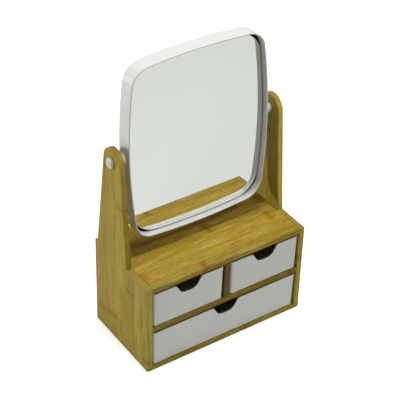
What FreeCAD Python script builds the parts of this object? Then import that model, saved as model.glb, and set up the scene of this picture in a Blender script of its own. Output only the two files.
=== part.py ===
"""Tabletop vanity mirror on a bamboo cabinet with three plastic drawers.

Millimetres. X runs left to right, Y from front to back and Z up. The origin is the centre of the
cabinet's underside. Each piece is written to parts/NAME.step.
"""
import FreeCAD, Part
import math
import os

from FreeCAD import Vector

# Cabinet
board = 7.0                  # thickness of the bamboo boards
back_board = 5.0             # thickness of the board over the back
box_width = 215.0
box_depth = 111.0            # over the back panel
shelf_height = 120.5         # top of the shelf
rabbet_lip = 4.2             # what is left of the bottom board under a side panel
edge_bevel = 0.6             # sanded edge of a board
foot_round = 2.6             # long lower edges of the cabinet

# Uprights, which carry the mirror
ledge_depth = 43.0           # from the front to the foot of the upright's front edge
pivot_from_front = 72.0
pivot_height = 248.5
head_radius = 17.2           # round head of the upright, about the pivot

# Mirror
mirror_width = 183.2
mirror_height = 221.2
mirror_side_radius = 630.0   # bow of the left and right sides
mirror_top_radius = 690.0    # bow of the top and bottom
mirror_corner_radius = 23.5
mirror_tilt = 2.7            # degrees, the top leaning back
hoop_depth = 20.0
hoop_wall = 1.8
hoop_bevel = 0.6             # eased edges of the hoop
glass_recess = 7.6           # from the hoop's front edge to the glass
glass_thickness = 2.5
glass_gap = 0.9              # all round, between the glass and the hoop
glass_corner_radius = 31.5   # blunter than the hoop's corner
backing_thickness = 2.0      # board between the glass and the seat
backing_gap = 0.2
seat_width = 4.0             # ledge inside the hoop that the backing rests on
seat_thickness = 2.0
cover_recess = 1.5           # from the hoop's rear edge to the back cover
cover_wall = 2.0
cover_gap = 0.15
cover_bevel = 1.0

# Pivots
pin_radius = 3.0
pin_hole_clearance = 0.05    # radial, in the upright
pin_depth_in_boss = 6.8
cap_radius = 6.2             # head of the pin
cap_proud = 4.6              # how far the head stands out of the upright
cap_bevel = 1.4
boss_radius = 5.8
boss_length = 7.4
washer_radius = 5.0
running_gap = 0.1            # faces that turn past each other

# Drawers
drawer_height = 47.0
drawer_side_gap = 1.4        # at the rim, to the board beside it
drawer_front_setback = 0.4
drawer_rear_gap = 2.5
drawer_draft = 1.0           # degrees, the drawer narrowing downwards
drawer_wall = 1.5
drawer_floor = 2.0
drawer_corner_radius = 4.0
drawer_foot_bevel = 1.6      # all round the drawer's underside
notch_depth = 13.6
notch_floor_width = 7.0      # level stretch between the lower corners
notch_corner_radius = 10.0
notch_slant = 30.0           # degrees, the notch's sides from upright
notch_lip_radius = 4.0       # where the sides turn over into the rim

# Dowels in the ends of the top and middle boards
dowel_radius = 2.0
dowel_in_side_panel = 4.5
dowel_in_board = 12.0
top_dowel_y = (-30.0, 24.0)
middle_dowel_y = (-3.0,)

# Places worked out from the above
half_width = box_width / 2
inner_half_width = half_width - board
front_y = -box_depth / 2
back_y = box_depth / 2
panel_back_y = back_y - back_board
bay_height = (shelf_height - 3 * board) / 2
middle_z = board + bay_height
top_z = shelf_height - board
pivot_y = front_y + pivot_from_front
bay_half_width = inner_half_width / 2 - board / 4
bay_centre_x = inner_half_width / 2 + board / 4
hoop_front_y = pivot_y - hoop_depth / 2
glass_y = hoop_front_y + glass_recess
backing_y = glass_y + glass_thickness
seat_y = backing_y + backing_thickness
cover_front_y = seat_y + seat_thickness
cover_back_y = hoop_front_y + hoop_depth - cover_recess
boss_end_x = mirror_width / 2 + boss_length

X_AXIS = Vector(1, 0, 0)
Y_AXIS = Vector(0, 1, 0)
Z_AXIS = Vector(0, 0, 1)


# ---------------------------------------------------------------- helpers

def block(x0, x1, y0, y1, z0, z1):
    """Box between two corners."""
    return Part.makeBox(x1 - x0, y1 - y0, z1 - z0, Vector(x0, y0, z0))


def closed_face(edges):
    """Flat face inside a closed run of edges."""
    wire = Part.Wire(Part.__sortEdges__([e.toShape() for e in edges]))
    return Part.Face(wire)


def is_at(value, wanted):
    return abs(value - wanted) < 1e-4


def edges_along(shape, axis, **place):
    """Straight edges of a shape that run along an axis and lie at the given coordinates."""
    found = []
    for edge in shape.Edges:
        if len(edge.Vertexes) != 2:
            continue
        run = edge.Vertexes[1].Point - edge.Vertexes[0].Point
        if run.Length < 1e-6 or abs(abs(run.normalize().dot(axis)) - 1) > 1e-6:
            continue
        middle = edge.CenterOfMass
        if all(is_at(getattr(middle, name), value) for name, value in place.items()):
            found.append(edge)
    return found


def edges_at(shape, **place):
    """Edges that lie wholly in a plane such as z=0."""
    name, value = next(iter(place.items()))
    low, high = {"x": ("XMin", "XMax"), "y": ("YMin", "YMax"), "z": ("ZMin", "ZMax")}[name]
    return [
        edge for edge in shape.Edges
        if is_at(getattr(edge.BoundBox, low), value) and is_at(getattr(edge.BoundBox, high), value)
    ]


def rod(radius, start, axis, length):
    """Cylinder from a point along an axis."""
    return Part.makeCylinder(radius, length, start, axis)


def mirrored(shape):
    """The same piece for the other side of the cabinet."""
    return shape.mirror(Vector(0, 0, 0), X_AXIS)


# ---------------------------------------------------------------- dowels

def end_dowels(z, depths):
    """Dowels at the given depths in both ends of a board whose middle is at height z."""
    start = inner_half_width - dowel_in_board
    length = dowel_in_board + dowel_in_side_panel
    right = [rod(dowel_radius, Vector(start, y, z), X_AXIS, length) for y in depths]
    return right + [mirrored(dowel) for dowel in right]


# ---------------------------------------------------------------- cabinet

def tangent_point(point, centre, radius, turn):
    """Where the straight line from a point touches a circle; turn picks the side. Points are (y, z)."""
    dy, dz = point[0] - centre[0], point[1] - centre[1]
    angle = math.atan2(dz, dy) + turn * math.acos(radius / math.hypot(dy, dz))
    return centre[0] + radius * math.cos(angle), centre[1] + radius * math.sin(angle)


def side_panel(dowels):
    """Right-hand side board: cabinet side, ledge and tapering upright with a round head, in one."""
    ledge_y = front_y + ledge_depth
    centre = (pivot_y, pivot_height)
    front_touch = tangent_point((ledge_y, shelf_height), centre, head_radius, -1)
    back_touch = tangent_point((panel_back_y, shelf_height), centre, head_radius, 1)

    def at(y, z):
        return Vector(inner_half_width, y, z)

    corners = [
        at(*front_touch), at(ledge_y, shelf_height), at(front_y, shelf_height), at(front_y, rabbet_lip),
        at(panel_back_y, rabbet_lip), at(panel_back_y, shelf_height), at(*back_touch),
    ]
    outline = [Part.LineSegment(a, b) for a, b in zip(corners, corners[1:])]
    outline.append(Part.Arc(corners[-1], at(pivot_y, pivot_height + head_radius), corners[0]))
    panel = closed_face(outline).extrude(X_AXIS * board)

    hole = pin_radius + pin_hole_clearance
    panel = panel.cut(rod(hole, Vector(0, pivot_y, pivot_height), X_AXIS, box_width))
    panel = panel.cut(dowels)
    return panel.makeChamfer(edge_bevel, sanded_edges(panel))


def sanded_edges(panel):
    """Edges of the side panel's outline on both faces, and its front corner; the joints stay sharp."""
    rounded = []
    for edge in panel.Edges:
        box = edge.BoundBox
        on_face = is_at(box.XMin, box.XMax) and box.XLength < 1e-4
        above_box = box.ZMin > shelf_height - 1e-4
        round_hole = box.ZLength < 2 * (pin_radius + 1) and box.YLength < 2 * (pin_radius + 1)
        outer_front = is_at(box.YMax, front_y) and is_at(box.XMin, half_width)
        inner_ledge = is_at(box.ZMax, shelf_height) and is_at(box.XMin, inner_half_width)
        if on_face and not inner_ledge and not round_hole and (above_box or outer_front):
            rounded.append(edge)
    return rounded


def foot_edges(shape):
    """The long lower edges at the left and right of the cabinet."""
    return edges_along(shape, Y_AXIS, x=half_width, z=0) + edges_along(shape, Y_AXIS, x=-half_width, z=0)


def bottom_board():
    """Full-width board, rabbeted at both ends so that the side panels stand on its lips."""
    slab = block(-half_width, half_width, front_y, panel_back_y, 0, board)
    for sign in (-1, 1):
        inner, outer = sorted((sign * inner_half_width, sign * (half_width + 1)))
        slab = slab.cut(block(inner, outer, front_y - 1, back_y, rabbet_lip, board + 1))
    slab = slab.makeFillet(foot_round, foot_edges(slab))
    return slab.makeChamfer(edge_bevel, edges_along(slab, X_AXIS, y=front_y, z=0))


def cross_board(z, dowels):
    """Board between the side panels, at height z, with its front edges sanded."""
    slab = block(-inner_half_width, inner_half_width, front_y, panel_back_y, z, z + board)
    return slab.makeChamfer(edge_bevel, edges_along(slab, X_AXIS, y=front_y)).cut(dowels)


def divider():
    """Upright board between the two upper drawers."""
    slab = block(-board / 2, board / 2, front_y, panel_back_y, middle_z + board, top_z)
    return slab.makeChamfer(edge_bevel, edges_along(slab, Z_AXIS, y=front_y))


def back_panel():
    """Board over the whole back of the cabinet, up to the shelf."""
    slab = block(-half_width, half_width, panel_back_y, back_y, 0, shelf_height)
    slab = slab.makeFillet(foot_round, foot_edges(slab))
    rear = edges_at(slab, y=back_y) + edges_along(slab, Y_AXIS, z=shelf_height)
    return slab.makeChamfer(edge_bevel, rear)


# ---------------------------------------------------------------- drawers

def tapered_bin(x0, x1, y0, y1, z0, z1, rim_z, corner_radius):
    """Solid that narrows downwards by the draft angle; its sides are at x0 to y1 at height rim_z."""
    slope = math.tan(math.radians(drawer_draft))
    low, high = (rim_z - z0) * slope, (rim_z - z1) * slope
    left, right, near, far = x0 + high, x1 - high, y0 + high, y1 - high
    front_view = Part.makePolygon([
        Vector(x0 + low, near, z0), Vector(x1 - low, near, z0),
        Vector(right, near, z1), Vector(left, near, z1), Vector(x0 + low, near, z0),
    ])
    side_view = Part.makePolygon([
        Vector(left, y0 + low, z0), Vector(left, y1 - low, z0),
        Vector(left, far, z1), Vector(left, near, z1), Vector(left, y0 + low, z0),
    ])
    front_to_back = Part.Face(front_view).extrude(Y_AXIS * (far - near))
    tapered = front_to_back.common(Part.Face(side_view).extrude(X_AXIS * (right - left)))
    upright = [edge for edge in tapered.Edges if is_at(edge.BoundBox.ZLength, z1 - z0)]
    return tapered.makeFillet(corner_radius, upright)


def polar(centre, radius, degrees):
    """Point (x, z) on a circle, by its angle from +X towards +Z."""
    angle = math.radians(degrees)
    return centre[0] + radius * math.cos(angle), centre[1] + radius * math.sin(angle)


def notch(centre_x, rim_z):
    """Finger notch cut through the front wall: round lower corners, slanting sides, a flared mouth."""
    sine, cosine = math.sin(math.radians(notch_slant)), math.cos(math.radians(notch_slant))
    corner = (notch_floor_width / 2, rim_z - notch_depth + notch_corner_radius)
    floor_end = polar(corner, notch_corner_radius, -90)
    corner_middle = polar(corner, notch_corner_radius, -(90 + notch_slant) / 2)
    side_foot = polar(corner, notch_corner_radius, -notch_slant)
    side_run = (rim_z - side_foot[1] - notch_lip_radius * (1 - sine)) / cosine
    side_top = (side_foot[0] + side_run * sine, side_foot[1] + side_run * cosine)
    lip = (side_top[0] + notch_lip_radius * cosine, rim_z - notch_lip_radius)
    lip_middle = polar(lip, notch_lip_radius, 135 - notch_slant / 2)
    mouth = polar(lip, notch_lip_radius, 90)
    above = (mouth[0], rim_z + 1)

    def at(sign, point):
        return Vector(centre_x + sign * point[0], front_y - 1, point[1])

    edges = [Part.LineSegment(at(-1, end), at(1, end)) for end in (floor_end, above)]
    for sign in (-1, 1):
        edges.append(Part.Arc(at(sign, floor_end), at(sign, corner_middle), at(sign, side_foot)))
        edges.append(Part.LineSegment(at(sign, side_foot), at(sign, side_top)))
        edges.append(Part.Arc(at(sign, side_top), at(sign, lip_middle), at(sign, mouth)))
        edges.append(Part.LineSegment(at(sign, mouth), at(sign, above)))
    reach = 1 + drawer_front_setback + 3 * drawer_wall
    return closed_face(edges).extrude(Y_AXIS * reach)


def drawer(centre_x, half_bay, floor_z):
    """One-piece moulded drawer: tapered open bin with round corners and a finger notch."""
    rim_z = floor_z + drawer_height
    x0 = centre_x - half_bay + drawer_side_gap
    x1 = centre_x + half_bay - drawer_side_gap
    y0 = front_y + drawer_front_setback
    y1 = panel_back_y - drawer_rear_gap
    wall = drawer_wall

    outer = tapered_bin(x0, x1, y0, y1, floor_z, rim_z, rim_z, drawer_corner_radius)
    outer = outer.makeChamfer(drawer_foot_bevel, edges_at(outer, z=floor_z))
    inside = tapered_bin(
        x0 + wall, x1 - wall, y0 + wall, y1 - wall,
        floor_z + drawer_floor, rim_z + 1, rim_z, drawer_corner_radius - wall)
    return outer.cut(inside).cut(notch(centre_x, rim_z))


# ---------------------------------------------------------------- mirror

def corner_centre(radius):
    """Centre (x, z) of an upper right corner arc that touches the mirror's top and side arcs."""
    top_centre_z = mirror_height / 2 - mirror_top_radius
    side_centre_x = mirror_width / 2 - mirror_side_radius
    to_top = mirror_top_radius - radius
    to_side = mirror_side_radius - radius
    apart = math.hypot(side_centre_x, top_centre_z)
    along = (to_top ** 2 - to_side ** 2 + apart ** 2) / (2 * apart)
    across = math.sqrt(to_top ** 2 - along ** 2)
    ux, uz = side_centre_x / apart, -top_centre_z / apart
    return along * ux + across * uz, top_centre_z + along * uz - across * ux


def mirror_outline(inset, y, corner_radius):
    """Bow-sided outline with round corners, upright at depth y, drawn in by inset all round."""
    top_centre_z = mirror_height / 2 - mirror_top_radius
    side_centre_x = mirror_width / 2 - mirror_side_radius
    corner_x, corner_z = corner_centre(corner_radius)
    top_angle = math.atan2(corner_z - top_centre_z, corner_x)
    side_angle = math.atan2(corner_z, corner_x - side_centre_x)
    middle_angle = (top_angle + side_angle) / 2
    top_reach = mirror_top_radius - inset
    side_reach = mirror_side_radius - inset
    corner_reach = corner_radius - inset

    def at(sx, sz, x, z):
        return Vector(sx * x, y, pivot_height + sz * z)

    top_end = (top_reach * math.cos(top_angle), top_centre_z + top_reach * math.sin(top_angle))
    side_end = (side_centre_x + side_reach * math.cos(side_angle), side_reach * math.sin(side_angle))
    corner_middle = (
        corner_x + corner_reach * math.cos(middle_angle), corner_z + corner_reach * math.sin(middle_angle))
    arcs = []
    for sx, sz in ((1, 1), (1, -1), (-1, -1), (-1, 1)):
        arcs.append(Part.Arc(at(sx, sz, *top_end), at(sx, sz, *corner_middle), at(sx, sz, *side_end)))
    for sign in (1, -1):
        top_middle = at(1, sign, 0, mirror_height / 2 - inset)
        arcs.append(Part.Arc(at(-1, sign, *top_end), top_middle, at(1, sign, *top_end)))
        side_middle = at(sign, 1, mirror_width / 2 - inset, 0)
        arcs.append(Part.Arc(at(sign, 1, *side_end), side_middle, at(sign, -1, *side_end)))
    return closed_face(arcs)


def mirror_plate(inset, y0, y1, corner_radius=mirror_corner_radius):
    """Plate between two depths with the mirror's outline, drawn in by inset after rounding."""
    return mirror_outline(inset, y0, corner_radius).extrude(Y_AXIS * (y1 - y0))


def tilted(shape):
    """Turns a piece of the mirror about the pivot axis to the mirror's resting tilt."""
    turned = shape.copy()
    turned.rotate(Vector(0, pivot_y, pivot_height), X_AXIS, -mirror_tilt)
    return turned


def pivot_boss(sign):
    """Round boss on the hoop's side, bored for the pin."""
    root_x = mirror_width / 2 - hoop_wall / 2
    axis = X_AXIS * sign
    boss = rod(boss_radius, Vector(sign * root_x, pivot_y, pivot_height), axis, boss_end_x - root_x)
    return boss.makeChamfer(edge_bevel, edges_at(boss, x=sign * boss_end_x))


def mirror_hoop():
    """Deep hoop round the mirror, with a seat for the backing inside and a bored boss on each side."""
    back = hoop_front_y + hoop_depth
    hoop = mirror_plate(0, hoop_front_y, back)
    hoop = hoop.cut(mirror_plate(hoop_wall, hoop_front_y - 1, seat_y))
    hoop = hoop.cut(mirror_plate(hoop_wall + seat_width, seat_y - 1, cover_front_y + 1))
    hoop = hoop.cut(mirror_plate(hoop_wall, cover_front_y, back + 1))
    hoop = hoop.makeChamfer(hoop_bevel, edges_at(hoop, y=hoop_front_y))
    for sign in (-1, 1):
        hoop = hoop.fuse(pivot_boss(sign))
        bore_x = sign * (boss_end_x - pin_depth_in_boss)
        bore_start = Vector(bore_x, pivot_y, pivot_height)
        hoop = hoop.cut(rod(pin_radius, bore_start, X_AXIS * sign, boss_length))
    return hoop


def mirror_glass():
    """Silvered glass, with corners blunter than the hoop's."""
    inset = hoop_wall + glass_gap
    return mirror_plate(inset, glass_y, backing_y, glass_corner_radius + inset)


def mirror_backing():
    """Dark board behind the glass, as wide as the hoop's inside, lying on the seat."""
    return mirror_plate(hoop_wall + backing_gap, backing_y, seat_y)


def mirror_back_cover():
    """Tray that closes the hoop from behind; its skirt stands on the seat."""
    inset = hoop_wall + cover_gap
    tray = mirror_plate(inset, cover_front_y, cover_back_y)
    tray = tray.makeChamfer(cover_bevel, edges_at(tray, y=cover_back_y))
    return tray.cut(mirror_plate(inset + cover_wall, cover_front_y - 1, cover_back_y - cover_wall))


# ---------------------------------------------------------------- pivots

def pivot_pin():
    """Right-hand pin with a bevelled head."""
    tip_x = boss_end_x - pin_depth_in_boss
    head_x = half_width + running_gap
    face_x = half_width + cap_proud
    shank = rod(pin_radius, Vector(tip_x, pivot_y, pivot_height), X_AXIS, head_x - tip_x)
    head = rod(cap_radius, Vector(head_x, pivot_y, pivot_height), X_AXIS, face_x - head_x)
    return shank.fuse(head.makeChamfer(cap_bevel, edges_at(head, x=face_x)))


def pivot_washer():
    """Right-hand washer on the pin, between the boss and the upright."""
    start = Vector(boss_end_x, pivot_y, pivot_height)
    thickness = inner_half_width - running_gap - boss_end_x
    return rod(washer_radius, start, X_AXIS, thickness).cut(rod(pin_radius, start, X_AXIS, thickness))


# ---------------------------------------------------------------- assembly

def build():
    top_dowels = end_dowels(shelf_height - board / 2, top_dowel_y)
    middle_dowels = end_dowels(middle_z + board / 2, middle_dowel_y)
    right_panel = side_panel(top_dowels + middle_dowels)
    pin = pivot_pin()
    washer = pivot_washer()
    upper_z = middle_z + board
    return {
        "side_panel_right": right_panel,
        "side_panel_left": mirrored(right_panel),
        "bottom_board": bottom_board(),
        "middle_board": cross_board(middle_z, middle_dowels),
        "top_board": cross_board(top_z, top_dowels),
        "drawer_divider": divider(),
        "back_panel": back_panel(),
        "top_board_dowels": Part.makeCompound(top_dowels),
        "middle_board_dowels": Part.makeCompound(middle_dowels),
        "drawer_upper_left": drawer(-bay_centre_x, bay_half_width, upper_z),
        "drawer_upper_right": drawer(bay_centre_x, bay_half_width, upper_z),
        "drawer_lower": drawer(0, inner_half_width, board),
        "mirror_hoop": tilted(mirror_hoop()),
        "mirror_glass": tilted(mirror_glass()),
        "mirror_backing": tilted(mirror_backing()),
        "mirror_back_cover": tilted(mirror_back_cover()),
        "pivot_pin_right": pin,
        "pivot_pin_left": mirrored(pin),
        "pivot_washer_right": washer,
        "pivot_washer_left": mirrored(washer),
    }


os.makedirs("parts", exist_ok=True)
for name, shape in build().items():
    shape.exportStep(os.path.join("parts", name + ".step"))
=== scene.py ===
import math

import bmesh
import bpy
from mathutils import Matrix, Vector


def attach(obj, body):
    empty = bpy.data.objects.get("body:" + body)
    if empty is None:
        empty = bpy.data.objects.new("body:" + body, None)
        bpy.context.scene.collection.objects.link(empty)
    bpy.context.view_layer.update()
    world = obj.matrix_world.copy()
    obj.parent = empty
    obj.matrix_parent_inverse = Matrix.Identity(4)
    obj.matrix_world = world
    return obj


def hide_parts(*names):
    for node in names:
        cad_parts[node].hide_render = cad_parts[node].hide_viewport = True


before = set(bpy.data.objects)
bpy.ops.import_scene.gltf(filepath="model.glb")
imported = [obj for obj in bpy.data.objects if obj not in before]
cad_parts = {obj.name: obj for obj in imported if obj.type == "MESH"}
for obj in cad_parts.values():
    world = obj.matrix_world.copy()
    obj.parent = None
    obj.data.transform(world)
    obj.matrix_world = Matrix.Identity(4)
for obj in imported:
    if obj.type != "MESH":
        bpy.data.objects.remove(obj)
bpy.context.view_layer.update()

MM = 0.001

# ---------------------------------------------------------------- sizes in mm, as in the CAD

BOARD = 7.0
BOX_WIDTH = 215.0
BOX_DEPTH = 111.0
BACK_BOARD = 5.0
SHELF_HEIGHT = 120.5
RABBET_LIP = 4.2
HALF_WIDTH = BOX_WIDTH / 2
INNER_HALF_WIDTH = HALF_WIDTH - BOARD
FRONT_Y = -BOX_DEPTH / 2
PANEL_BACK_Y = BOX_DEPTH / 2 - BACK_BOARD

PIVOT_Y = FRONT_Y + 72.0
PIVOT_HEIGHT = 248.5
MIRROR_WIDTH = 183.2
MIRROR_HEIGHT = 221.2
MIRROR_SIDE_RADIUS = 630.0
MIRROR_TOP_RADIUS = 690.0
MIRROR_CORNER_RADIUS = 23.5
MIRROR_TILT = math.radians(2.7)
HOOP_DEPTH = 20.0
HOOP_WALL = 1.8
HOOP_LIP_SHARE = 0.95        # of half the wall: how far the front lip is rounded
HOOP_REAR_ROUND = 0.5
SEAT_ROUND = 0.4
SEAT_FILLET = 0.3
GLASS_RECESS = 7.6
GLASS_THICKNESS = 2.5
GLASS_EDGE = 0.25            # width of the ground edge seen from in front
GLASS_EDGE_ROUND = 0.09
GLASS_GAP = 0.9
GLASS_CORNER_RADIUS = 31.5
SILVER_DEPTH = 9.2           # where the silvering seems to lie, seen through the glass
SEAT_DEPTH = 12.1
SEAT_WIDTH = 4.0
SEAT_THICKNESS = 2.0
HOOP_FRONT_Y = PIVOT_Y - HOOP_DEPTH / 2
BOSS_RADIUS = 5.8
BOSS_BORE_ROUND = 0.15
BOSS_END_ROUND = 0.6
BOSS_FILLET = 1.4            # where the boss meets the hoop
BOSS_FLARE = 1.7             # how much wider its foot is, hidden in the hoop's wall
BOSS_FOOT_DEPTHS = (0.1, 1.0)
BOSS_END_X = MIRROR_WIDTH / 2 + 7.4
PIN_RADIUS = 3.0
PIN_PLAY = 0.01
PIN_DEPTH_IN_BOSS = 6.8
PIN_TIP_GAP = 0.02           # left between the tip and the end of its hole
PIN_TIP_SHARE = 0.9          # of the radius, at the chamfered tip
PIN_TIP_CHAMFER = 0.3
CAP_RADIUS = 6.2
CAP_PROUD = 4.6
CAP_INNER_ROUND = 0.4
CAP_EDGE_ROUND = 1.0
CAP_SHOULDER = 1.6           # how far the cap's edge lies behind its face
CAP_BEVEL_DROP = 0.5         # bevel between the edge and the face
CAP_BEVEL_WIDTH = 1.5
CAP_BEVEL_ROUND = 1.6
CAP_FLAT_RADIUS = 0.6
RUNNING_GAP = 0.1

DRAWER_HEIGHT = 47.0
DRAWER_SIDE_GAP = 1.4
DRAWER_SETBACK = 0.4
DRAWER_REAR_GAP = 2.5
DRAWER_SLOPE = math.tan(math.radians(1.0))
DRAWER_WALL = 1.5
DRAWER_FLOOR = 2.0
DRAWER_CORNER_RADIUS = 4.0
DRAWER_FOOT = 1.6
NOTCH_DEPTH = 13.6
NOTCH_FLOOR_HALF = 3.5
NOTCH_CORNER_RADIUS = 10.0
NOTCH_SLANT = 30.0           # degrees, the notch's sides from upright
NOTCH_LIP_RADIUS = 4.0
BAY_HEIGHT = (SHELF_HEIGHT - 3 * BOARD) / 2
MIDDLE_Z = BOARD + BAY_HEIGHT
BAY_HALF_WIDTH = INNER_HALF_WIDTH / 2 - BOARD / 4
BAY_CENTRE_X = INNER_HALF_WIDTH / 2 + BOARD / 4

# ---------------------------------------------------------------- camera

CAMERA_PLACE = Vector((-0.72397, -1.02622, 1.10243))
CAMERA_YAW = math.radians(35.104)      # from +Y towards +X
CAMERA_PITCH = math.radians(36.679)    # downwards
CAMERA_ROLL = math.radians(1.811)
CAMERA_LENS = 125.286                  # mm
CAMERA_SENSOR = 36                     # mm wide
CAMERA_CLIP_END = 20                   # m


def make_camera():
    """Camera at the photograph's viewpoint."""
    forward = Vector((
        math.sin(CAMERA_YAW) * math.cos(CAMERA_PITCH),
        math.cos(CAMERA_YAW) * math.cos(CAMERA_PITCH),
        -math.sin(CAMERA_PITCH)))
    level = Vector((math.cos(CAMERA_YAW), -math.sin(CAMERA_YAW), 0))
    upright = level.cross(forward)
    right = level * math.cos(CAMERA_ROLL) + upright * math.sin(CAMERA_ROLL)
    up = upright * math.cos(CAMERA_ROLL) - level * math.sin(CAMERA_ROLL)
    data = bpy.data.cameras.new("camera")
    data.sensor_width = CAMERA_SENSOR
    data.sensor_fit = "HORIZONTAL"
    data.lens = CAMERA_LENS
    data.clip_end = CAMERA_CLIP_END
    camera = bpy.data.objects.new("camera", data)
    turn = Matrix((right, up, -forward)).transposed().to_4x4()
    camera.matrix_world = Matrix.Translation(CAMERA_PLACE) @ turn
    bpy.context.scene.collection.objects.link(camera)
    bpy.context.scene.camera = camera


make_camera()

# ---------------------------------------------------------------- mesh helpers

SUPPORT = 0.03               # mm, how far beside a rounding its neighbour ring lies
SHARP_ANGLE = math.radians(38)         # edges steeper than this stay sharp


def rounded(corners, steps, closed=True):
    """Outline through (x, y, radius) corners, each rounded.

    A support point lies beside each end of a rounding, so a side has to be longer than its
    roundings and two supports, or the outline folds back.
    """
    points = []
    count = len(corners)
    for i, (x, y, radius) in enumerate(corners):
        here = Vector((x, y))
        at_end = not closed and i in (0, count - 1)
        if radius == 0 or at_end:
            points.append((x, y))
            continue
        before = (Vector(corners[i - 1][:2]) - here).normalized()
        after = (Vector(corners[(i + 1) % count][:2]) - here).normalized()
        half = before.angle(after) / 2
        reach = radius / math.tan(half)
        centre = here + (before + after).normalized() * radius / math.sin(half)
        first = here + before * reach - centre
        last = here + after * reach - centre
        turn = first.angle_signed(last)
        points.append(tuple(centre + first + before * SUPPORT))
        for k in range(steps + 1):
            points.append(tuple(centre + Matrix.Rotation(-turn * k / steps, 2) @ first))
        points.append(tuple(centre + last + after * SUPPORT))
    return points


def skin(rings, closed):
    """Vertices and faces of a skin through equal rings.

    Its ends are joined if it is closed, and otherwise capped by triangles.
    """
    count = len(rings[0])
    vertices = [point for ring in rings for point in ring]
    faces = []
    for k in range(len(rings) if closed else len(rings) - 1):
        a, b = k * count, (k + 1) % len(rings) * count
        for i in range(count):
            j = (i + 1) % count
            faces.append((a + i, a + j, b + j, b + i))
    if not closed:
        for start, turn in ((0, -1), ((len(rings) - 1) * count, 1)):
            ring = range(start, start + count)
            middle = sum((Vector(vertices[i]) for i in ring), Vector()) / count
            vertices.append(tuple(middle))
            for i in range(count):
                pair = (ring[i], ring[(i + 1) % count])
                faces.append((len(vertices) - 1,) + pair[::turn])
    return vertices, faces


def make_piece(name, shells, material, body, replaces=()):
    """Object from closed shells given in millimetres, riding on a body; its triangles stay flat."""
    vertices, faces = [], []
    for shell_vertices, shell_faces in shells:
        start = len(vertices)
        vertices += [tuple(value * MM for value in point) for point in shell_vertices]
        faces += [tuple(start + i for i in face) for face in shell_faces]
    mesh = bpy.data.meshes.new(name)
    mesh.from_pydata(vertices, [], faces)
    mesh.validate()
    mesh.polygons.foreach_set("use_smooth", [len(face.vertices) == 4 for face in mesh.polygons])
    mesh.set_sharp_from_angle(angle=SHARP_ANGLE)
    mesh.materials.append(material)
    piece = bpy.data.objects.new(name, mesh)
    bpy.context.scene.collection.objects.link(piece)
    make_normals_point_out(mesh)
    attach(piece, body)
    for node in replaces:
        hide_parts(node)


def make_normals_point_out(mesh):
    """Turns every face of each closed shell outwards."""
    work = bmesh.new()
    work.from_mesh(mesh)
    bmesh.ops.recalc_face_normals(work, faces=work.faces)
    work.to_mesh(mesh)
    work.free()


# ---------------------------------------------------------------- materials


class Nodes:
    """Adds nodes to the tree of a material or a world."""

    def __init__(self, owner):
        owner.use_nodes = True
        self.tree = owner.node_tree

    def node(self, kind, inputs=None, **settings):
        made = self.tree.nodes.new("ShaderNode" + kind)
        for key, value in settings.items():
            setattr(made, key, value)
        for key, value in (inputs or {}).items():
            self.plug(made.inputs[key], value)
        return made

    def plug(self, socket, value):
        if isinstance(value, bpy.types.NodeSocket):
            self.tree.links.new(value, socket)
        else:
            socket.default_value = value

    def math(self, operation, *values):
        made = self.node("Math", dict(enumerate(values)), operation=operation)
        return made.outputs[0]


class Shader(Nodes):
    """Writes a new material around its Principled BSDF."""

    def __init__(self, name):
        self.material = bpy.data.materials.new(name)
        super().__init__(self.material)
        self.surface = self.tree.nodes["Principled BSDF"]

    def set(self, **values):
        """Plugs the shader's sockets; underscores stand for spaces."""
        for key, value in values.items():
            self.plug(self.surface.inputs[key.replace("_", " ")], value)

    def place(self):
        """Object coordinates x, y and z, in metres."""
        coordinates = self.node("TexCoord").outputs["Object"]
        return self.node("SeparateXYZ", {0: coordinates}).outputs

    def vector(self, x, y, z):
        return self.node("CombineXYZ", {0: x, 1: y, 2: z}).outputs[0]

    def noise(self, place, detail=2.0, roughness=0.5, scale=1.0):
        made = self.node("TexNoise", {
            "Vector": place, "Scale": scale, "Detail": detail, "Roughness": roughness})
        return made.outputs[0]

    def chance(self, number):
        """A value from 0 to 1 for each whole number."""
        return self.node("TexWhiteNoise", {"W": number}, noise_dimensions="1D").outputs["Value"]

    def span(self, value, low, high, to_low=0.0, to_high=1.0):
        """Maps low..high to to_low..to_high, smoothly and clamped."""
        made = self.node("MapRange", {
            "Value": value, "From Min": low, "From Max": high, "To Min": to_low, "To Max": to_high},
            interpolation_type="SMOOTHSTEP")
        return made.outputs[0]

    def mix(self, factor, first, second, blend="MIX"):
        made = self.node("Mix", {0: factor, 6: first, 7: second},
                         data_type="RGBA", blend_type=blend)
        return made.outputs[2]

    def bump(self, height, distance, strength):
        made = self.node("Bump", {"Height": height, "Distance": distance, "Strength": strength})
        return made.outputs[0]


def colour(red, green, blue):
    return (red, green, blue, 1.0)


MOST_NOISE = (0.3, 0.7)      # most values of a noise lie between these

# Bamboo sizes, in metres.
STRIP_WIDTH = 0.0185         # of the strips that a board is glued up from
STRIP_SHIFT = 0.0031         # sideways, for each whole number of the seed
STRIP_STAGGER = 3.7          # over which the strips start
KNUCKLE_SPACING = 0.21       # along a strip
KNUCKLE_WOBBLE = (0.02, 0.006)         # its size along and across
GLUE_LINE = 0.00022          # half the width of the line between two strips
SEAM = 0.0003                # half the soft edge of a dark joint line
PORE = 0.0007
PAINTED_FRONT_LIGHT_STEP = 0.002           # half the height over which the painted front light changes
GRAIN_BUMP = 0.00012         # height of the grain

# Seed factor and offset of each strip's draws: its start, how orange and how light it is.
STRIP_DRAWS = ((7.0, 0.0), (13.0, 0.5), (29.0, 0.25))

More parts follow.
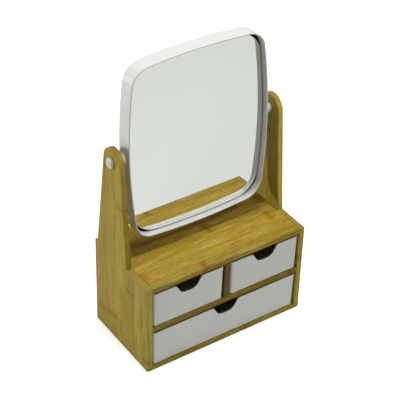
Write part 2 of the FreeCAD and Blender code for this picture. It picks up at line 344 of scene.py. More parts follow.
# Grain: size along and across the fibres in metres, and the noise's detail and roughness.
BROAD_GRAIN = (0.11, 0.012, 2.0, 0.55)
PATCH_GRAIN = (0.038, 0.0052, 3.0, 0.6)
STREAK_GRAIN = (0.048, 0.0013, 3.0, 0.6)
FINE_GRAIN = (0.014, 0.00042, 2.0, 0.6)
DASH_GRAIN = (0.0070, 0.00055, 1.0, 0.5)

# Knuckles, in shares of their spacing.
KNUCKLE_BEND = 0.03
KNUCKLE_RAGGED = 0.11
KNUCKLE_REACH = 0.042
RING_PLACE = 0.004
RING_REACH = 0.0045

# Bamboo colours, before a board's tone.
PALE_WOOD = (0.52, 0.395, 0.110)
MIDDLE_WOOD = (0.420, 0.290, 0.047)
DEEP_WOOD = (0.300, 0.185, 0.018)
ORANGE_WOOD = (0.405, 0.235, 0.028)
AMBER_WOOD = (0.30, 0.150, 0.012)
DARK_WOOD = (0.14, 0.070, 0.008)
JOINT_WOOD = (0.045, 0.024, 0.006)
END_WOOD = (0.37, 0.25, 0.055)
PORE_WOOD = (0.20, 0.115, 0.022)

# Values between which a layer of colour sets in, of its noise, its draw or how a face points.
BROAD_SPAN = (0.40, 0.60)
ORANGE_SPAN = (0.15, 1.0)
PATCH_SPAN = (0.50, 0.68)
STREAK_SPAN = (0.38, 0.62)   # also of the fine grain
DASH_SPAN = (0.56, 0.68)
FLECK_SPAN = (0.40, 0.65)
PORE_SPAN = (0.45, 0.70)
END_SPAN = (0.75, 0.95)
# how far a face points to the front before it gets the painted front light
PAINTED_FRONT_LIGHT_SPAN = (0.6, 0.95)

# How strongly each layer covers the ones before it.
ORANGE_SHARE = 0.65
PATCH_SHARE = 0.85
STREAK_SHARE = 0.80
FINE_SHARE = 0.45
KNUCKLE_SHARE = 0.80
FLECK_SHARES = (0.25, 0.85)  # outside a patch and in it
RING_SHARE = 0.38
GLUE_SHARE = 0.35
JOINT_SHARE = 0.85
LIGHTNESS_SPREAD = 0.13      # how much lighter or darker a strip is

# Bamboo surface: how rough and how high the streaks, fine grain, knuckles and glue lines are.
STREAK_ROUGHNESS = (0.52, 0.40)
KNUCKLE_ROUGHNESS = 0.08
STREAK_HEIGHT = 0.6
FINE_HEIGHT = 0.4
GLUE_HEIGHT = -0.8
GRAIN_STRENGTH = 0.35
BAMBOO_SPECULAR = 0.10


def bamboo(name, along, across, seed, tone, vivid=1.0, joints=(), painted_front_light=(1.0, 1.0)):
    """Laminated bamboo: strips with fibres along one axis and side by side along another.

    Each joint maps axes to the (low, high) metres from the middle between which the wood is dark.
    Painted light: faces that face the front are lightened by painted_front_light, given below and
    above the shelf, for light falling on them.
    """
    s = Shader(name)

    def wood(tint):
        return colour(*(value * gain for value, gain in zip(tint, tone)))

    def ease(value, amount):
        return s.math("MULTIPLY", value, amount)

    def away(value, middle):
        """Distance of a value from a middle one."""
        return s.math("ABSOLUTE", s.math("SUBTRACT", value, middle))

    def over(base, share, tint):
        return s.mix(share, base, wood(tint))

    def lighten(base, gain):
        return s.mix(1.0, base, s.vector(gain, gain, gain), "MULTIPLY")

    place = dict(zip("XYZ", s.place()))
    thick = ({"X", "Y", "Z"} - {along, across}).pop()
    run, side, deep = place[along], place[across], place[thick]
    strips = s.math("DIVIDE", s.math("ADD", side, seed * STRIP_SHIFT), STRIP_WIDTH)
    strip = s.math("FLOOR", strips)
    start_draw, orange_draw, light_draw = (
        s.chance(s.math("ADD", strip, seed * factor + offset)) for factor, offset in STRIP_DRAWS)
    start = s.math("MULTIPLY_ADD", start_draw, STRIP_STAGGER, run)

    def fibres(long, wide, detail, roughness):
        """Noise drawn out along the grain."""
        x = s.math("DIVIDE", start, long)
        y = s.math("DIVIDE", side, wide)
        z = s.math("DIVIDE", deep, wide)
        return s.noise(s.vector(x, y, z), detail, roughness)

    broad = fibres(*BROAD_GRAIN)
    patch = fibres(*PATCH_GRAIN)
    streak = fibres(*STREAK_GRAIN)
    fine = fibres(*FINE_GRAIN)
    dash = s.span(fibres(*DASH_GRAIN), *DASH_SPAN)

    # Knuckles: a ragged amber patch across a strip with a thin ring and short dark fibres in it.
    long, wide = KNUCKLE_WOBBLE
    at = s.vector(s.math("DIVIDE", run, long), s.math("DIVIDE", side, wide), start_draw)
    bend = ease(s.noise(at), KNUCKLE_BEND)
    period = s.math("ADD", s.math("DIVIDE", start, KNUCKLE_SPACING), bend)
    phase = away(s.math("FRACT", period), 0.5)
    ragged = s.math("MULTIPLY_ADD", s.math("SUBTRACT", patch, 0.5), KNUCKLE_RAGGED, phase)
    knuckle = s.span(ragged, 0.0, KNUCKLE_REACH, 1.0, 0.0)
    ring = s.span(away(phase, RING_PLACE), 0.0, RING_REACH, 1.0, 0.0)
    flecks = s.math("MULTIPLY", dash, s.span(patch, *FLECK_SPAN, *FLECK_SHARES))

    # Layers of colour. Noise lies around 0.5, so its spans set how much of the wood a layer covers.
    pale = s.span(broad, *BROAD_SPAN, 0.5 - 0.5 * vivid, 0.5 + 0.5 * vivid)
    base = s.mix(pale, wood(MIDDLE_WOOD), wood(PALE_WOOD))
    base = over(base, s.span(orange_draw, *ORANGE_SPAN, 0.0, ORANGE_SHARE * vivid), ORANGE_WOOD)
    base = over(base, s.span(patch, *PATCH_SPAN, 0.0, PATCH_SHARE * vivid), AMBER_WOOD)
    base = over(base, s.span(streak, *STREAK_SPAN, STREAK_SHARE * vivid, 0.0), DEEP_WOOD)
    base = over(base, s.span(fine, *STREAK_SPAN, FINE_SHARE * vivid, 0.0), DEEP_WOOD)
    base = over(base, ease(knuckle, KNUCKLE_SHARE * vivid), AMBER_WOOD)
    base = over(base, ease(flecks, vivid), DARK_WOOD)
    base = over(base, ease(ring, RING_SHARE), DARK_WOOD)
    spread = LIGHTNESS_SPREAD * vivid
    base = lighten(base, s.span(light_draw, 0.0, 1.0, 1.0 - spread, 1.0 + spread))

    # Glue lines between strips, and the dark joints with other boards.
    glue = s.span(away(s.math("FRACT", strips), 0.5), 0.5 - GLUE_LINE / STRIP_WIDTH, 0.5)
    base = over(base, ease(glue, GLUE_SHARE), DEEP_WOOD)
    for joint in joints:
        shade = JOINT_SHARE
        for axis, (low, high) in joint.items():
            reach = s.math("ABSOLUTE", place[axis])
            shade = s.math("MULTIPLY", s.span(reach, low - SEAM, low + SEAM), shade)
            shade = s.math("MULTIPLY", s.span(reach, high - SEAM, high + SEAM, 1.0, 0.0), shade)
        base = over(base, shade, JOINT_WOOD)

    # End grain, where the surface faces along the fibres, and painted light that lightens faces
    # which face the front.
    facing = s.node("SeparateXYZ", {0: s.node("TexCoord").outputs["Normal"]}).outputs
    normal = dict(zip("XYZ", facing))
    end = s.span(s.math("ABSOLUTE", normal[along]), *END_SPAN)
    at = s.vector(s.math("DIVIDE", side, PORE), s.math("DIVIDE", deep, PORE), start_draw)
    pores = s.span(s.noise(at, 1.0), *PORE_SPAN)
    base = s.mix(end, base, s.mix(pores, wood(END_WOOD), wood(PORE_WOOD)))
    # Painted light on faces that face the front, with one gain below the shelf and one above it.
    if painted_front_light != (1.0, 1.0):
        shelf = SHELF_HEIGHT * MM
        gain = s.span(place["Z"], shelf - PAINTED_FRONT_LIGHT_STEP, shelf + PAINTED_FRONT_LIGHT_STEP, *painted_front_light)
        base = lighten(base, s.span(ease(normal["Y"], -1.0), *PAINTED_FRONT_LIGHT_SPAN, 1.0, gain))

    rough = s.span(streak, *MOST_NOISE, *STREAK_ROUGHNESS)
    rough = s.math("ADD", rough, ease(knuckle, KNUCKLE_ROUGHNESS))
    height = s.math("ADD", ease(streak, STREAK_HEIGHT), ease(fine, FINE_HEIGHT))
    height = s.math("ADD", height, ease(glue, GLUE_HEIGHT))
    s.set(Base_Color=base, Roughness=rough, Specular_IOR_Level=BAMBOO_SPECULAR,
          Normal=s.bump(height, GRAIN_BUMP, GRAIN_STRENGTH))
    return s.material


# Noise cells to a metre, of plastic, silvering and fibre board.
CLOUD_SCALE = 26.0
RUB_SCALES = (60.0, 60.0, 700.0)       # along x, y and z
HAZE_SCALE = 18.0
DUST_SCALE = 900.0
FELT_SCALE = 700.0

# Plastic: how far the tint strays, how strong the grain is in it, and how the roughness strays.
PLASTIC_DRIFT = 0.03
GRAIN_SHARE = 0.5
CLOUD_ROUGHNESS = 0.04
RUB_ROUGHNESS = 0.06
BUMP_STRENGTH = 0.5          # also of the fibre board

# Silvering: its colour and its roughness between and in the haze, and how much dust adds.
HAZE_SPAN = (0.3, 0.8)
HAZE_SHARE = 0.35
CLEAN_SILVER = (0.875, 0.905, 0.872)
HAZY_SILVER = (0.855, 0.889, 0.852)
SILVER_ROUGHNESS = (0.012, 0.024)
DUST_SPAN = (0.70, 0.80)
DUST_ROUGHNESS = 0.03


def plastic(name, tint, roughness, grain, specular=0.4, bump=0.00003):
    """Moulded plastic: faint cloudiness, fine grain and slight rub marks."""
    s = Shader(name)
    x, y, z = s.place()
    at = s.vector(x, y, z)
    cloud = s.noise(at, 3.0, 0.55, CLOUD_SCALE)
    fine = s.noise(at, 3.0, 0.6, 1.0 / grain)
    stretched = [s.math("MULTIPLY", axis, scale) for axis, scale in zip((x, y, z), RUB_SCALES)]
    rub = s.noise(s.vector(*stretched), 2.0, 0.6)
    dim = colour(*(value * (1 - PLASTIC_DRIFT) for value in tint))
    warm = colour(tint[0], tint[1] * (1 - PLASTIC_DRIFT / 4), tint[2] * (1 - PLASTIC_DRIFT))
    base = s.mix(s.span(cloud, *MOST_NOISE), dim, colour(*tint))
    base = s.mix(s.span(fine, 0.4, 0.75, 0.0, GRAIN_SHARE), base, warm)
    rough = s.span(cloud, *MOST_NOISE, roughness - CLOUD_ROUGHNESS, roughness + CLOUD_ROUGHNESS)
    rough = s.math("ADD", rough, s.span(rub, 0.55, 0.75, 0.0, RUB_ROUGHNESS))
    s.set(Base_Color=base, Roughness=rough, Specular_IOR_Level=specular,
          Normal=s.bump(fine, bump, BUMP_STRENGTH))
    return s.material


def silvered(name):
    """Silvered glass: almost clean, with a faint haze of dust."""
    s = Shader(name)
    x, y, z = s.place()
    at = s.vector(x, y, z)
    haze = s.noise(at, 4.0, 0.6, HAZE_SCALE)
    dust = s.span(s.noise(at, 2.0, 0.7, DUST_SCALE), *DUST_SPAN)
    hazy = s.span(haze, *HAZE_SPAN, 0.0, HAZE_SHARE)
    base = s.mix(hazy, colour(*CLEAN_SILVER), colour(*HAZY_SILVER))
    rough = s.span(haze, *HAZE_SPAN, *SILVER_ROUGHNESS)
    rough = s.math("ADD", rough, s.math("MULTIPLY", dust, DUST_ROUGHNESS))
    s.set(Base_Color=base, Roughness=rough, Metallic=1.0)
    return s.material


def dark_board(name):
    """Black fibre board."""
    s = Shader(name)
    x, y, z = s.place()
    felt = s.noise(s.vector(x, y, z), 4.0, 0.7, FELT_SCALE)
    black, worn = colour(0.006, 0.006, 0.006), colour(0.016, 0.015, 0.014)
    base = s.mix(s.span(felt, *MOST_NOISE), black, worn)
    s.set(Base_Color=base, Roughness=s.span(felt, *MOST_NOISE, 0.85, 0.95), Specular_IOR_Level=0.1,
          Normal=s.bump(felt, 0.0001, BUMP_STRENGTH))
    return s.material


# Red, green and blue factors of each board's bamboo. The shelf's is partly the wood's tone and
# partly painted light; the middle board's and the divider's are darkened with painted shade, where
# they lie between the drawers.
SIDE_TONE = (0.99, 1.09, 0.95)
MIDDLE_TONE_WITH_PAINTED_SHADE = (0.74, 0.80, 0.54)
BOTTOM_TONE = (0.95, 1.08, 0.75)
SHELF_TONE_WITH_PAINTED_LIGHT = (1.09, 1.155, 1.06)
DIVIDER_TONE_PAINTED_SHADE = (0.40, 0.36, 0.42)

# Dark joint lines at the ends of boards, in metres from the middle; FAR is beyond any surface.
FAR = 1
JOINT_LINE = 0.0004
RABBET_LINE = 0.0003
INSIDE = INNER_HALF_WIDTH * MM
RABBET = RABBET_LIP * MM
BOARD_ENDS = {"X": (INSIDE - JOINT_LINE, FAR)}
RABBET_WALL = {"X": (INSIDE - JOINT_LINE, INSIDE), "Z": (RABBET, FAR)}
RABBET_TOP = {"X": (INSIDE, FAR), "Z": (RABBET - RABBET_LINE, FAR)}

# Plastics: name, tint, roughness, grain size in metres, specular level, bump height in metres.
HOOP_PLASTIC = plastic("hoop_white", (0.83, 0.835, 0.80), 0.34, 0.0006)
COVER_PLASTIC = plastic("cover_white", (0.80, 0.80, 0.775), 0.48, 0.0007, 0.35, 0.00006)
DRAWER_PLASTIC = plastic("drawer_white", (0.86, 0.865, 0.81), 0.50, 0.0008, 0.3, 0.00005)
PIN_PLASTIC = plastic("pin_cream", (0.74, 0.74, 0.58), 0.42, 0.0005)
WASHER_PLASTIC = plastic("washer_white", (0.75, 0.75, 0.72), 0.5, 0.0005)
# Painted highlight: a pale band for the bright edge of the glass. Painted shade: a near-black
# ground edge for the gap between glass and hoop.
PAINTED_HIGHLIGHT_GLASS = plastic("painted_highlight_glass", (0.88, 0.91, 0.84), 0.55, 0.0004, 0.3)
PAINTED_SHADE_GROUND_EDGE = plastic("painted_shade_ground_edge", (0.10, 0.12, 0.10), 0.55, 0.0004, 0.3)
SILVER = silvered("mirror_silver")

# CAD nodes that keep their shape. Bamboo: name, axis of the fibres, axis across the strips, seed,
# tone, how strong the figure is, dark joints and painted front light.
MATERIALS = {
    # Side panels: painted front light on their front edges, stronger below the shelf on the left
    # and above it on the right.
    "side_panel_left": bamboo("bamboo_left", "Z", "Y", 3, SIDE_TONE, 0.55,
                              painted_front_light=(1.45, 1.05)),
    "side_panel_right": bamboo("bamboo_right", "Z", "Y", 8, SIDE_TONE, 0.55,
                               painted_front_light=(1.20, 1.65)),
    "bottom_board": bamboo("bamboo_bottom", "X", "Y", 5, BOTTOM_TONE,
                           joints=[RABBET_WALL, RABBET_TOP]),
    # Middle board: its darker tone is painted shade.
    "middle_board": bamboo("bamboo_middle", "X", "Y", 11, MIDDLE_TONE_WITH_PAINTED_SHADE, joints=[BOARD_ENDS]),
    # Top board: its lighter tone is partly painted light, and its front edge gets painted front
    # light.
    "top_board": bamboo("bamboo_top", "X", "Y", 2, SHELF_TONE_WITH_PAINTED_LIGHT, 1.25, [BOARD_ENDS], (1.15, 1.15)),
    "back_panel": bamboo("bamboo_back", "X", "Z", 17, SIDE_TONE, 0.75),
    # Divider: its dark tone is painted shade.
    "drawer_divider": bamboo("bamboo_divider", "Z", "Y", 23, DIVIDER_TONE_PAINTED_SHADE, 0.8),
    "top_board_dowels": bamboo("dowel_top", "X", "Y", 29, SIDE_TONE),
    "middle_board_dowels": bamboo("dowel_middle", "X", "Y", 31, SIDE_TONE),
    "mirror_backing": dark_board("black_board"),
    "mirror_back_cover": COVER_PLASTIC,
    "pivot_washer_left": WASHER_PLASTIC,
    "pivot_washer_right": WASHER_PLASTIC,
}
for node_name, material in MATERIALS.items():
    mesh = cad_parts[node_name].data
    mesh.materials.clear()
    mesh.materials.append(material)

# ---------------------------------------------------------------- mirror

CORNER_STEPS = 16            # of a corner of the mirror's outline
SIDE_STEPS = 12              # of a side of it
TURN_STEPS = 48              # round the pivot axis
ROUND_STEPS = 6              # of a rounding
EDGE_STEPS = 2               # of a rounding of the glass


def corner_centre(radius):
    """Centre of an upper right corner arc that touches the mirror's top and side arcs."""
    top_z = MIRROR_HEIGHT / 2 - MIRROR_TOP_RADIUS
    side_x = MIRROR_WIDTH / 2 - MIRROR_SIDE_RADIUS
    to_top, to_side = MIRROR_TOP_RADIUS - radius, MIRROR_SIDE_RADIUS - radius
    apart = math.hypot(side_x, top_z)
    along = (to_top ** 2 - to_side ** 2 + apart ** 2) / (2 * apart)
    across = math.sqrt(to_top ** 2 - along ** 2)
    ux, uz = side_x / apart, -top_z / apart
    return along * ux + across * uz, top_z + along * uz - across * ux


def outline_stations(corner_radius):
    """Round the mirror's outline: (arc centre x, arc centre z, arc radius, angle)."""
    top_z = MIRROR_HEIGHT / 2 - MIRROR_TOP_RADIUS
    side_x = MIRROR_WIDTH / 2 - MIRROR_SIDE_RADIUS
    x, z = corner_centre(corner_radius)
    top_angle = math.atan2(z - top_z, x)
    side_angle = math.atan2(z, x - side_x)
    pieces = []
    for turn, (sx, sz) in enumerate(((1, 1), (-1, 1), (-1, -1), (1, -1))):
        forwards = turn % 2 == 0
        side = (sx * side_x, 0.0, MIRROR_SIDE_RADIUS, 0.0, side_angle, SIDE_STEPS // 2)
        corner = (sx * x, sz * z, corner_radius, side_angle, top_angle, CORNER_STEPS)
        top = (0.0, sz * top_z, MIRROR_TOP_RADIUS, top_angle, math.pi / 2, SIDE_STEPS // 2)
        runs = [side, corner, top] if forwards else [top, corner, side]
        for cx, cz, radius, first, last, steps in runs:
            if not forwards:
                first, last = last, first
            for k in range(steps):
                angle = first + (last - first) * k / steps
                direction = math.atan2(sz * math.sin(angle), sx * math.cos(angle))
                pieces.append((cx, cz, radius, direction))
    return pieces


def tilt(x, depth, height):
    """Place on the resting mirror: across, behind the hoop's front and above the pivot."""
    y = HOOP_FRONT_Y - PIVOT_Y + depth
    return (x, PIVOT_Y + y * math.cos(MIRROR_TILT) + height * math.sin(MIRROR_TILT),
            PIVOT_HEIGHT + height * math.cos(MIRROR_TILT) - y * math.sin(MIRROR_TILT))


def outline_ring(stations, inset, depth):
    """Ring that follows the mirror's outline, inset from it and behind the hoop's front."""
    ring = []
    for cx, cz, radius, angle in stations:
        reach = radius - inset
        ring.append(tilt(cx + reach * math.cos(angle), depth, cz + reach * math.sin(angle)))
    return ring


def turned_shell(profile, sign):
    """Shell turned about the pivot axis; profile is (distance from the middle, radius)."""
    rings = []
    for distance, radius in profile:
        ring = []
        for k in range(TURN_STEPS):
            angle = 2 * math.pi * k / TURN_STEPS
            ring.append((sign * distance, PIVOT_Y + radius * math.cos(angle),
                         PIVOT_HEIGHT + radius * math.sin(angle)))
        rings.append(ring)
    return skin(rings, closed=False)


def build_hoop():
    """White hoop with the seat for the glass, and its two pivot bosses."""
    lip = HOOP_WALL / 2 * HOOP_LIP_SHARE
    inner = HOOP_WALL + SEAT_WIDTH
    seat_back = SEAT_DEPTH + SEAT_THICKNESS
    profile = rounded([
        (0, HOOP_DEPTH, HOOP_REAR_ROUND), (HOOP_WALL, HOOP_DEPTH, SEAT_ROUND),
        (HOOP_WALL, seat_back, SEAT_FILLET), (inner, seat_back, SEAT_ROUND),
        (inner, SEAT_DEPTH, SEAT_ROUND), (HOOP_WALL, SEAT_DEPTH, SEAT_FILLET),
        (HOOP_WALL, 0, lip), (0, 0, lip)], ROUND_STEPS)
    stations = outline_stations(MIRROR_CORNER_RADIUS)
    shells = [skin([outline_ring(stations, inset, depth) for inset, depth in profile], closed=True)]
    wall_x = MIRROR_WIDTH / 2
    bore_x = BOSS_END_X - PIN_DEPTH_IN_BOSS
    foot = [(wall_x - depth, BOSS_RADIUS + BOSS_FLARE, 0) for depth in BOSS_FOOT_DEPTHS]
    boss = rounded([
        (bore_x, PIN_RADIUS, 0), (BOSS_END_X, PIN_RADIUS, BOSS_BORE_ROUND),
        (BOSS_END_X, BOSS_RADIUS, BOSS_END_ROUND), (wall_x, BOSS_RADIUS, BOSS_FILLET)] + foot,
        ROUND_STEPS, closed=False)
    shells += [turned_shell(boss, sign) for sign in (-1, 1)]
    make_piece("mirror_hoop_moulding", shells, HOOP_PLASTIC, "mirror",
               ["mirror_hoop"])


def build_glass():
    """Silvering, where it seems to lie seen through the glass; its wall, a pale painted highlight
    of the glass's edge; and the ground edge, near black with painted shade of the gap beside the
    glass.
    """
    inset = HOOP_WALL + GLASS_GAP
    stations = outline_stations(GLASS_CORNER_RADIUS + inset)
    front, back = GLASS_RECESS, GLASS_RECESS + GLASS_THICKNESS
    edge = inset + GLASS_EDGE
    wall = edge + SUPPORT

    def outline_skin(profile, closed=True):
        return [skin([outline_ring(stations, *at) for at in profile], closed)]

    silver = [(edge, SILVER_DEPTH), (edge, back - SUPPORT)]
    bevel = [(edge, SILVER_DEPTH), (wall, SILVER_DEPTH),
             (wall, front + SUPPORT), (edge, front + SUPPORT)]
    rim = rounded([
        (edge, back, 0), (edge, front, GLASS_EDGE_ROUND),
        (inset, front, GLASS_EDGE_ROUND), (inset, back, 0)], EDGE_STEPS, closed=False)
    make_piece("mirror_glass_silvering", outline_skin(silver, closed=False), SILVER, "mirror",
               ["mirror_glass"])
    # The pale band is a painted highlight and the near-black ground edge is painted shade.
    make_piece("mirror_glass_painted_highlight_band", outline_skin(bevel), PAINTED_HIGHLIGHT_GLASS, "mirror")
    make_piece("mirror_glass_ground_edge_painted_shade", outline_skin(rim), PAINTED_SHADE_GROUND_EDGE, "mirror")


def build_pins():
    """Pivot pins with rounded caps outside the uprights."""
    shaft = PIN_RADIUS - PIN_PLAY
    tip = BOSS_END_X - PIN_DEPTH_IN_BOSS + PIN_TIP_GAP
    head = HALF_WIDTH + RUNNING_GAP
    face = HALF_WIDTH + CAP_PROUD
    cap = rounded([
        (head, PIN_RADIUS, 0), (head, CAP_RADIUS, CAP_INNER_ROUND),
        (face - CAP_SHOULDER, CAP_RADIUS, CAP_EDGE_ROUND),
        (face - CAP_BEVEL_DROP, CAP_RADIUS - CAP_BEVEL_WIDTH, CAP_BEVEL_ROUND),
        (face, CAP_FLAT_RADIUS, 0)], ROUND_STEPS, closed=False)
    pin = [(tip, PIN_TIP_SHARE * PIN_RADIUS), (tip + PIN_TIP_CHAMFER, shaft), (head, shaft)]
    for sign, side in ((-1, "left"), (1, "right")):
        make_piece(f"pivot_cap_{side}", [turned_shell(pin + cap, sign)], PIN_PLASTIC, "mirror",
                   [f"pivot_pin_{side}"])


build_hoop()
build_glass()
build_pins()

# ---------------------------------------------------------------- drawers

RIM_RADIUS = 0.45            # mm, like the fillet
INNER_FILLET = 1.5           # has to be under the inner corner radius at the floor, which is 1.7
NOTCH_STEPS = 10
LIP_STEPS = 6
DRAWER_CORNER_STEPS = 7
WALL_SHARES = (0.25, 0.5, 0.75)        # of its height, where a wall has rings
FOOT_ANGLES = range(0, 91, 15)         # degrees, of the foot and of the fillet round the floor
RIM_ANGLES = range(0, 91, 18)          # degrees


def notch_edge():
    """Notch's edge from left to right: (x, height over the rim, outward x and z, column x)."""
    slant = math.radians(NOTCH_SLANT)
    corner_z = NOTCH_CORNER_RADIUS - NOTCH_DEPTH
    foot_x = NOTCH_FLOOR_HALF + NOTCH_CORNER_RADIUS * math.cos(slant)
    foot_z = corner_z - NOTCH_CORNER_RADIUS * math.sin(slant)
    run = (-foot_z - NOTCH_LIP_RADIUS * (1 - math.sin(slant))) / math.cos(slant)
    lip_x = foot_x + run * math.sin(slant) + NOTCH_LIP_RADIUS * math.cos(slant)
    points = []
    for k in range(LIP_STEPS + 1):
        angle = math.radians(90 + (90 - NOTCH_SLANT) * k / LIP_STEPS)
        nx, nz = math.cos(angle), math.sin(angle)
        points.append((lip_x + NOTCH_LIP_RADIUS * nx, NOTCH_LIP_RADIUS * (nz - 1), nx, nz))
    for k in range(NOTCH_STEPS + 1):
        angle = math.radians(-NOTCH_SLANT - (90 - NOTCH_SLANT) * k / NOTCH_STEPS)
        nx, nz = math.cos(angle), math.sin(angle)
        points.append((NOTCH_FLOOR_HALF + NOTCH_CORNER_RADIUS * nx,
                       corner_z + NOTCH_CORNER_RADIUS * nz, -nx, -nz))
    right = [(x, z, nx, nz, x) for x, z, nx, nz in reversed(points)]
    left = [(-x, z, -nx, nz, -x) for x, z, nx, nz in points]
    return left + right


def drawer_stations(x0, x1, y0, y1):
    """Round the rim: outer point, outward normal, and the notch's edge there or None."""
    radius = DRAWER_CORNER_RADIUS
    centre_x = (x0 + x1) / 2
    stations = []
    for x, height, nx, nz, column in notch_edge():
        stations.append(((centre_x + x, y0), (0, -1), (height, nx, nz, centre_x + column)))
    corners = [(x1 - radius, y0 + radius, -90), (x1 - radius, y1 - radius, 0),
               (x0 + radius, y1 - radius, 90), (x0 + radius, y0 + radius, 180)]
    for cx, cy, start in corners:
        for k in range(DRAWER_CORNER_STEPS + 1):
            angle = math.radians(start + 90 * k / DRAWER_CORNER_STEPS)
            normal = (math.cos(angle), math.sin(angle))
            stations.append(((cx + radius * normal[0], cy + radius * normal[1]), normal, None))
    return stations


def arc(radius, degrees):
    """How far a rounding of a square corner lies from its two sides, at an angle."""
    angle = math.radians(degrees)
    return radius - radius * math.sin(angle), radius - radius * math.cos(angle)


def drawer_profile():
    """Rings from the outer foot over the rim to the inner floor: (kind, depth, value).

    The depth is into the wall, and the value is a fixed height, a share of the wall's height or a
    drop below the edge.
    """
    wall, floor = DRAWER_WALL, DRAWER_FLOOR
    rim, foot, fillet = RIM_RADIUS, DRAWER_FOOT, INNER_FILLET
    low = [(foot + SUPPORT, 0.0)] + [arc(foot, degrees) for degrees in FOOT_ANGLES]
    low.append((0.0, foot + SUPPORT))
    outer = [("fixed", depth, z) for depth, z in low]
    up = [("share", 0.0, share) for share in WALL_SHARES]
    edge = [("drop", 0.0, rim + SUPPORT)]
    edge += [("drop", *reversed(arc(rim, degrees))) for degrees in RIM_ANGLES]
    back = [("drop", wall - depth, drop) for _, depth, drop in reversed(edge)]
    down = [("share", wall, share) for share in reversed(WALL_SHARES)]
    inside = [("fixed", wall, floor + fillet + SUPPORT)]
    for degrees in FOOT_ANGLES:
        rise, depth = arc(fillet, degrees)
        inside.append(("fixed", wall + depth, floor + rise))
    inside.append(("fixed", wall + fillet + SUPPORT, floor))
    return outer + up + edge + back + down + inside


def build_drawer(name, node, body, centre_x, half_bay, floor_z):
    """One-piece drawer with a rounded rim that dips into the finger notch."""
    stations = drawer_stations(
        centre_x - half_bay + DRAWER_SIDE_GAP, centre_x + half_bay - DRAWER_SIDE_GAP,
        FRONT_Y + DRAWER_SETBACK, PANEL_BACK_Y - DRAWER_REAR_GAP)
    wall_foot = DRAWER_FOOT + SUPPORT
    edge_drop = RIM_RADIUS + SUPPORT
    rings = []
    for kind, depth, value in drawer_profile():
        ring = []
        for (x, y), (hx, hy), notch in stations:
            height, nx, nz, column = notch or (0.0, 0.0, 1.0, x)
            top = DRAWER_HEIGHT + height
            top_x, top_z = x - edge_drop * nx, top - edge_drop * nz
            if kind == "fixed":
                along, z = column, value
            elif kind == "share":
                along = column + (top_x - column) * value
                z = wall_foot + (top_z - wall_foot) * value
            else:
                along, z = x - value * nx, top - value * nz
            inwards = depth + (DRAWER_HEIGHT - z) * DRAWER_SLOPE
            ring.append((along - hx * inwards, y - hy * inwards, floor_z + z))
        rings.append(ring)
    make_piece(name, [skin(rings, closed=False)], DRAWER_PLASTIC, body, [node])


build_drawer("drawer_bin_upper_left", "drawer_upper_left", "upper_left_drawer",
             -BAY_CENTRE_X, BAY_HALF_WIDTH, MIDDLE_Z + BOARD)
build_drawer("drawer_bin_upper_right", "drawer_upper_right", "upper_right_drawer",
             BAY_CENTRE_X, BAY_HALF_WIDTH, MIDDLE_Z + BOARD)
build_drawer("drawer_bin_lower", "drawer_lower", "lower_drawer", 0.0, INNER_HALF_WIDTH, BOARD)

# ---------------------------------------------------------------- studio

FLOOR_REACH = 6              # m
FLOOR_COLOUR = (0.80, 0.80, 0.79)
FLOOR_SEEN = 0.72            # glow in the floor for camera rays, and for reflected ones
FLOOR_REFLECTED = 0.10
WORLD_LIGHT = 0.02           # what the world adds to the light on the object
WORLD_SEEN = 1.0
WORLD_REFLECTED = 0.70
LAMP_TARGET = Vector((0, 0, 0.15))
LAMPS = {                    # place in metres, width and height in metres, watts
    "overhead_lamp": ((0.0, -0.050, 1.95), 0.25, 0.25, 12.8),
    "front_right_lamp": ((0.514, -0.989, 1.563), 0.25, 0.25, 8.4),
    "rear_left_lamp": ((-1.460, 1.022, 0.401), 0.45, 0.35, 13.0),
    "rear_right_lamp": ((0.951, 0.133, 1.672), 0.25, 0.25, 8.7),
    "left_lamp": ((-1.554, 0.142, 1.047), 0.25, 0.25, 2.8),
}


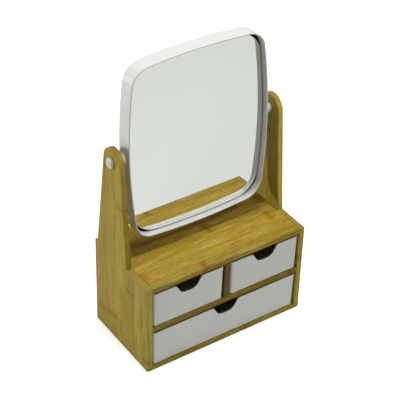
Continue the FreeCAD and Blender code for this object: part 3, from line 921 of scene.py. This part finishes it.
def seen_directly(nodes, camera, reflected):
    """Strength for camera rays, and for glossy and transmission rays; none for light on the object.

    A reflected ray counts only before the first diffuse bounce, so a mirror doesn't light the hoop.
    """
    path = nodes.node("LightPath").outputs
    mirrored = nodes.math("MAXIMUM", path["Is Glossy Ray"], path["Is Transmission Ray"])
    undimmed = nodes.math("LESS_THAN", path["Diffuse Depth"], 0.5)
    mirrored = nodes.math("MULTIPLY", mirrored, undimmed)
    return nodes.math("MAXIMUM", nodes.math("MULTIPLY", path["Is Camera Ray"], camera),
                      nodes.math("MULTIPLY", mirrored, reflected))


def make_floor():
    """Pale floor that keeps the object's shadow and looks white beside it."""
    mesh = bpy.data.meshes.new("floor")
    reach = FLOOR_REACH
    corners = [(-reach, -reach, 0), (reach, -reach, 0), (reach, reach, 0), (-reach, reach, 0)]
    mesh.from_pydata(corners, [], [(0, 1, 2, 3)])
    floor = bpy.data.objects.new("floor", mesh)
    bpy.context.scene.collection.objects.link(floor)
    material = bpy.data.materials.new("floor_paper")
    nodes = Nodes(material)
    nodes.tree.nodes.clear()
    diffuse = nodes.node("BsdfDiffuse", {"Color": colour(*FLOOR_COLOUR)})
    glow = nodes.node("Emission", {"Strength": seen_directly(nodes, FLOOR_SEEN, FLOOR_REFLECTED)})
    both = nodes.node("AddShader", {0: diffuse.outputs[0], 1: glow.outputs[0]})
    nodes.node("OutputMaterial", {"Surface": both.outputs[0]})
    mesh.materials.append(material)


def make_world():
    """White world, seen by the camera and in the mirror, that hardly lights the object."""
    world = bpy.data.worlds.new("world")
    bpy.context.scene.world = world
    nodes = Nodes(world)
    nodes.tree.nodes.clear()
    seen = seen_directly(nodes, WORLD_SEEN, WORLD_REFLECTED)
    strength = nodes.math("MAXIMUM", seen, WORLD_LIGHT)
    sky = nodes.node("Background", {"Color": colour(1, 1, 1), "Strength": strength})
    nodes.node("OutputWorld", {"Surface": sky.outputs[0]})


def area_lamp(name, place, width, height, power):
    """Soft lamp that faces the object and isn't seen itself."""
    data = bpy.data.lights.new(name, "AREA")
    data.shape = "RECTANGLE"
    data.size, data.size_y, data.energy = width, height, power
    lamp = bpy.data.objects.new(name, data)
    turn = (LAMP_TARGET - Vector(place)).to_track_quat("-Z", "Y").to_matrix().to_4x4()
    lamp.matrix_world = Matrix.Translation(Vector(place)) @ turn
    lamp.visible_camera = False
    bpy.context.scene.collection.objects.link(lamp)


make_floor()
make_world()
for lamp_name, lamp_values in LAMPS.items():
    area_lamp(lamp_name, *lamp_values)
bpy.context.scene.view_settings.view_transform = "Standard"
